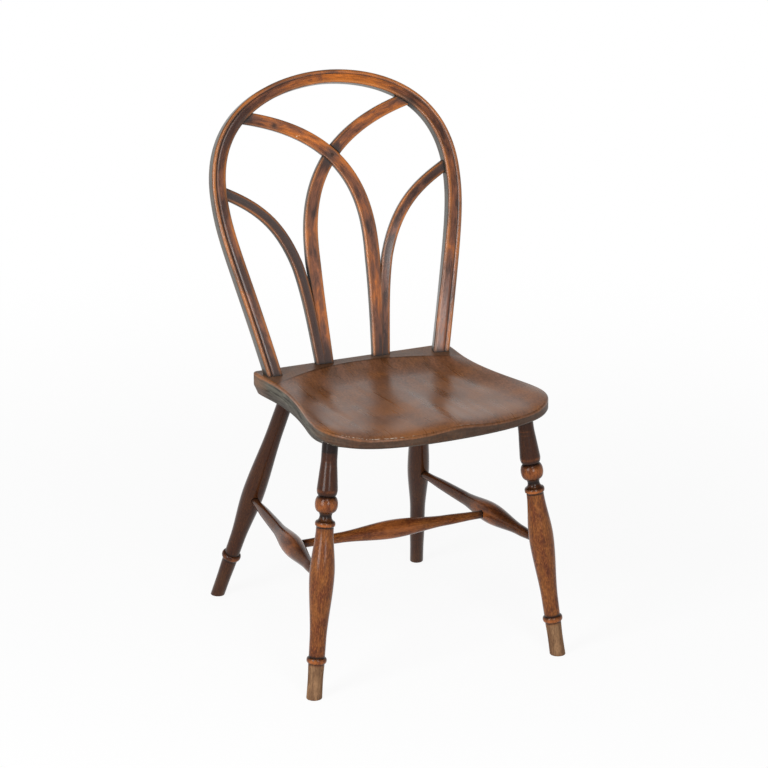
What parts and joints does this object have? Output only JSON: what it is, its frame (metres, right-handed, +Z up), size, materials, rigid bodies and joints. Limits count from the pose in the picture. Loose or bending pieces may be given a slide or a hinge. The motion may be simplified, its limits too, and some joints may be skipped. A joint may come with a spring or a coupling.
{
  "type": "hoop back chair",
  "caption": "Wooden side chair with a saddled seat on splayed turned legs and stretchers, and a bent bow whose moulded hoop holds interlaced pointed arches.",
  "frame": {"origin": "on the floor, under the centre of the chair's bounding box", "axes": "+Z up; -Y is the way the sitter faces; +X is to the right for someone who looks at the chair's front"},
  "size_m": [0.4618, 0.5346, 0.9015],
  "materials": {
    "elm": "old waxed polish, satin",
    "yew": "old waxed polish, satin",
    "beech": "old stained polish, satin",
    "oak": "dark, unpolished"
  },
  "bodies": {
    "root": {"bow": "yew", "bow_wedge_left": "oak", "bow_wedge_right": "oak", "cross_stretcher": "beech", "crossing_peg": "oak", "front_leg_left": "beech", "front_leg_right": "beech", "long_arch_left": "yew", "long_arch_left_peg": "oak", "long_arch_right": "yew", "long_arch_right_peg": "oak", "rear_leg_left": "beech", "rear_leg_right": "beech", "seat": "elm", "short_arch_left": "yew", "short_arch_left_peg": "oak", "short_arch_right": "yew", "short_arch_right_peg": "oak", "side_stretcher_left": "beech", "side_stretcher_right": "beech"}
  },
  "joints": []
}
